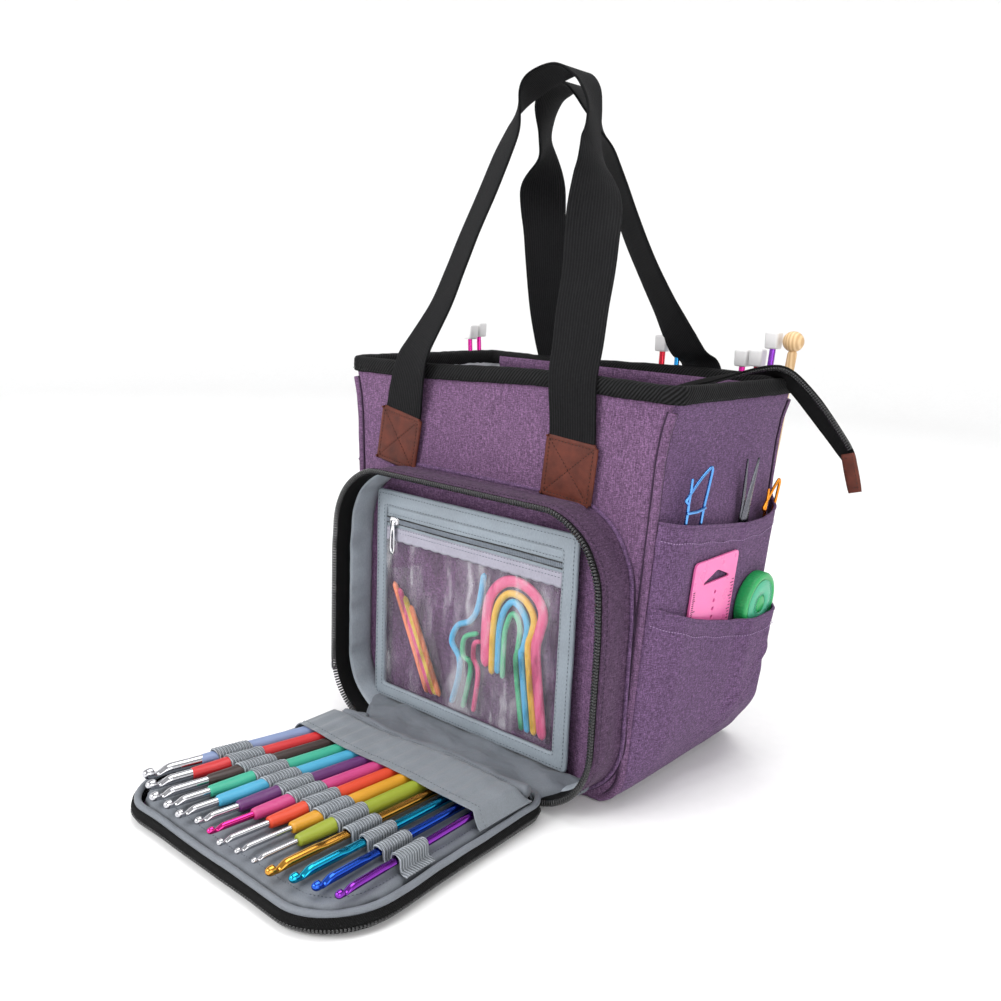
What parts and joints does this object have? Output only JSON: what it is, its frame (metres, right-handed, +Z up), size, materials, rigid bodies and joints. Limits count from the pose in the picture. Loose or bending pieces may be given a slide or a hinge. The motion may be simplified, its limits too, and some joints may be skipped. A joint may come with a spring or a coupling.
{
  "type": "knitting bag",
  "caption": "Fabric tote for knitting with two webbing handles, outside pockets, a zip-top mouth and a fold-down front case holding crochet hooks.",
  "frame": {"origin": "centre of the bag's base, on the surface it stands on", "axes": "+Z up, -Y out of the front (the hook case side), +X to the viewer's right of the front"},
  "size_m": [0.3747, 0.4161, 0.5119],
  "materials": {
    "purple_fabric": "heathered melange weave",
    "side_fabric": "heathered melange weave",
    "grey_lining": "smooth satin lining",
    "bag_lining": "smooth lining",
    "black_webbing": "ribbed webbing",
    "black_twill": "twill binding",
    "zip_black": "coil zip on woven tape",
    "brown_leather": "grained, stitched",
    "clear_film": "clear glossy film",
    "silver_metal": "polished",
    "elastic_grey": "ribbed elastic",
    "tools_plastic": "moulded, mixed colours",
    "ruler_pink": "moulded",
    "tape_green": "moulded",
    "scissor_steel": "brushed",
    "wire_blue": "anodised, mixed colours",
    "needle_mix": "anodised, mixed colours",
    "hook_01": "soft-touch grip, polished shaft",
    "hook_02": "soft-touch grip, polished shaft",
    "hook_03": "soft-touch grip, polished shaft",
    "hook_04": "soft-touch grip, polished shaft",
    "hook_05": "soft-touch grip, polished shaft",
    "hook_06": "soft-touch grip, polished shaft",
    "hook_07": "soft-touch grip, polished shaft",
    "hook_08": "soft-touch grip, polished shaft",
    "hook_09": "soft-touch grip, polished shaft",
    "hook_10": "soft-touch grip, polished shaft",
    "hook_11": "anodised, polished",
    "hook_12": "anodised, polished",
    "hook_13": "anodised, polished",
    "hook_14": "anodised, polished"
  },
  "bodies": {
    "bag": {"front_panel": "purple_fabric", "back_panel": "purple_fabric", "left_side_panel": "side_fabric", "right_side_panel": "side_fabric", "bottom_panel": "side_fabric", "lining": "bag_lining", "rim_binding": "black_twill", "edge_piping": "purple_fabric", "right_upper_pocket": "side_fabric", "right_lower_pocket": "side_fabric", "left_upper_pocket": "side_fabric", "left_lower_pocket": "side_fabric", "back_pocket": "purple_fabric", "case_gusset": "side_fabric", "case_lining": "grey_lining", "case_zip_tape": "zip_black", "hinge_gusset": "grey_lining", "window_binding": "grey_lining", "window_zip_tape": "grey_lining", "clear_window": "clear_film", "leather_patches": "brown_leather", "webbing_ends": "black_webbing", "top_zip_tail": "zip_black", "tail_end_tab": "brown_leather", "small_needles": "tools_plastic", "needle_sachets": "clear_film"},
    "flap": {"flap_shell": "purple_fabric", "flap_zip_tape": "zip_black", "flap_lining": "grey_lining", "hook_pocket": "grey_lining", "elastic_loops": "elastic_grey"},
    "front_handle": {"front_handle": "black_webbing"},
    "back_handle": {"back_handle": "black_webbing"},
    "top_strip_front": {"top_zip_strip_front": "purple_fabric"},
    "top_strip_back": {"top_zip_strip_back": "purple_fabric"},
    "top_slider": {"top_zip_slider": "silver_metal"},
    "top_pull": {"top_zip_pull": "silver_metal"},
    "case_slider": {"case_zip_slider": "silver_metal"},
    "case_pull": {"case_zip_pull": "silver_metal"},
    "window_slider": {"window_zip_slider": "silver_metal"},
    "window_pull": {"window_zip_pull": "silver_metal"},
    "stitch_holders": {"stitch_holders": "wire_blue"},
    "scissors": {"scissors": "scissor_steel"},
    "gauge_ruler": {"gauge_ruler": "ruler_pink"},
    "tape_measure": {"tape_measure": "tape_green"},
    "knitting_needles": {"knitting_needles": "needle_mix"},
    "left_needles": {"left_needles": "needle_mix"},
    "hook_01": {"hook_01": "hook_01"},
    "hook_02": {"hook_02": "hook_02"},
    "hook_03": {"hook_03": "hook_03"},
    "hook_04": {"hook_04": "hook_04"},
    "hook_05": {"hook_05": "hook_05"},
    "hook_06": {"hook_06": "hook_06"},
    "hook_07": {"hook_07": "hook_07"},
    "hook_08": {"hook_08": "hook_08"},
    "hook_09": {"hook_09": "hook_09"},
    "hook_10": {"hook_10": "hook_10"},
    "hook_11": {"hook_11": "hook_11"},
    "hook_12": {"hook_12": "hook_12"},
    "hook_13": {"hook_13": "hook_13"},
    "hook_14": {"hook_14": "hook_14"}
  },
  "joints": [
    {"name": "flap_hinge", "type": "hinge", "parent": "bag", "child": "flap", "pos_m": [0, -0.1175, 0.008], "axis": [-1, 0, 0], "range_deg": [0, 90]},
    {"name": "hook_01_slide", "type": "slide", "parent": "flap", "child": "hook_01", "axis": [0.2137, 0.9769, 0], "range_m": [-0.1, 0]},
    {"name": "hook_02_slide", "type": "slide", "parent": "flap", "child": "hook_02", "axis": [0.1881, 0.9821, 0], "range_m": [-0.1, 0]},
    {"name": "hook_03_slide", "type": "slide", "parent": "flap", "child": "hook_03", "axis": [0.1642, 0.9864, 0], "range_m": [-0.1, 0]},
    {"name": "hook_04_slide", "type": "slide", "parent": "flap", "child": "hook_04", "axis": [0.148, 0.989, 0], "range_m": [-0.1, 0]},
    {"name": "hook_05_slide", "type": "slide", "parent": "flap", "child": "hook_05", "axis": [0.1298, 0.9915, 0], "range_m": [-0.1, 0]},
    {"name": "hook_06_slide", "type": "slide", "parent": "flap", "child": "hook_06", "axis": [0.1154, 0.9933, 0], "range_m": [-0.1, 0]},
    {"name": "hook_07_slide", "type": "slide", "parent": "flap", "child": "hook_07", "axis": [0.0968, 0.9953, 0], "range_m": [-0.1, 0]},
    {"name": "hook_08_slide", "type": "slide", "parent": "flap", "child": "hook_08", "axis": [0.0774, 0.997, 0], "range_m": [-0.1, 0]},
    {"name": "hook_09_slide", "type": "slide", "parent": "flap", "child": "hook_09", "axis": [0.0606, 0.9982, 0], "range_m": [-0.1, 0]},
    {"name": "hook_10_slide", "type": "slide", "parent": "flap", "child": "hook_10", "axis": [0.0429, 0.9991, 0], "range_m": [-0.1, 0]},
    {"name": "hook_11_slide", "type": "slide", "parent": "flap", "child": "hook_11", "axis": [0.0247, 0.9997, 0], "range_m": [-0.1, 0]},
    {"name": "hook_12_slide", "type": "slide", "parent": "flap", "child": "hook_12", "axis": [0.007, 1, 0], "range_m": [-0.1, 0]},
    {"name": "hook_13_slide", "type": "slide", "parent": "flap", "child": "hook_13", "axis": [-0.0119, 0.9999, 0], "range_m": [-0.1, 0]},
    {"name": "hook_14_slide", "type": "slide", "parent": "flap", "child": "hook_14", "axis": [-0.0319, 0.9995, 0], "range_m": [-0.1, 0]},
    {"name": "front_handle_hinge", "type": "hinge", "parent": "bag", "child": "front_handle", "pos_m": [0, -0.0851, 0.251], "axis": [1, 0, 0], "range_deg": [0, 105]},
    {"name": "back_handle_hinge", "type": "hinge", "parent": "bag", "child": "back_handle", "pos_m": [0, 0.0891, 0.251], "axis": [-1, 0, 0], "range_deg": [0, 105]},
    {"name": "top_strip_front_hinge", "type": "hinge", "parent": "bag", "child": "top_strip_front", "pos_m": [0, -0.0758, 0.27], "axis": [1, 0, 0], "range_deg": [0, 90]},
    {"name": "top_strip_back_hinge", "type": "hinge", "parent": "bag", "child": "top_strip_back", "pos_m": [0, 0.0798, 0.27], "axis": [-1, 0, 0], "range_deg": [0, 90]},
    {"name": "top_slider_travel", "type": "slide", "parent": "bag", "child": "top_slider", "axis": [-1, 0, 0], "range_m": [0, 0.205]},
    {"name": "top_pull_hinge", "type": "hinge", "parent": "top_slider", "child": "top_pull", "pos_m": [0.095, 0.002, 0.2792], "axis": [0, 1, 0], "range_deg": [0, 160]},
    {"name": "case_slider_travel", "type": "slide", "parent": "bag", "child": "case_slider", "axis": [0, 0, 1], "range_m": [0, 0.1]},
    {"name": "case_pull_hinge", "type": "hinge", "parent": "case_slider", "child": "case_pull", "pos_m": [-0.1314, -0.1125, 0.058], "axis": [0, 1, 0], "range_deg": [0, 170]},
    {"name": "window_slider_travel", "type": "slide", "parent": "bag", "child": "window_slider", "axis": [1, 0, 0], "range_m": [0, 0.15]},
    {"name": "window_pull_hinge", "type": "hinge", "parent": "window_slider", "child": "window_pull", "pos_m": [-0.0865, -0.0925, 0.163], "axis": [0, 1, 0], "range_deg": [-70, 70]},
    {"name": "stitch_holder_slide", "type": "slide", "parent": "bag", "child": "stitch_holders", "axis": [0.0737, 0, 0.9973], "range_m": [0, 0.07]},
    {"name": "scissors_slide", "type": "slide", "parent": "bag", "child": "scissors", "axis": [0.0737, 0, 0.9973], "range_m": [0, 0.045]},
    {"name": "ruler_slide", "type": "slide", "parent": "bag", "child": "gauge_ruler", "axis": [0.0737, 0, 0.9973], "range_m": [0, 0.09]},
    {"name": "tape_measure_slide", "type": "slide", "parent": "bag", "child": "tape_measure", "axis": [0.0737, 0, 0.9973], "range_m": [0, 0.09]},
    {"name": "needle_slide", "type": "slide", "parent": "bag", "child": "knitting_needles", "axis": [0, 0, 1], "range_m": [0, 0.1]},
    {"name": "left_needle_slide", "type": "slide", "parent": "bag", "child": "left_needles", "axis": [-0.0737, 0, 0.9973], "range_m": [0, 0.1]}
  ],
  "couplings": [
    {"joint": "top_strip_back_hinge", "follows": "top_strip_front_hinge", "ratio": 1},
    {"joint": "top_slider_travel", "follows": "top_strip_front_hinge", "m_per_rad": 0.1305}
  ]
}
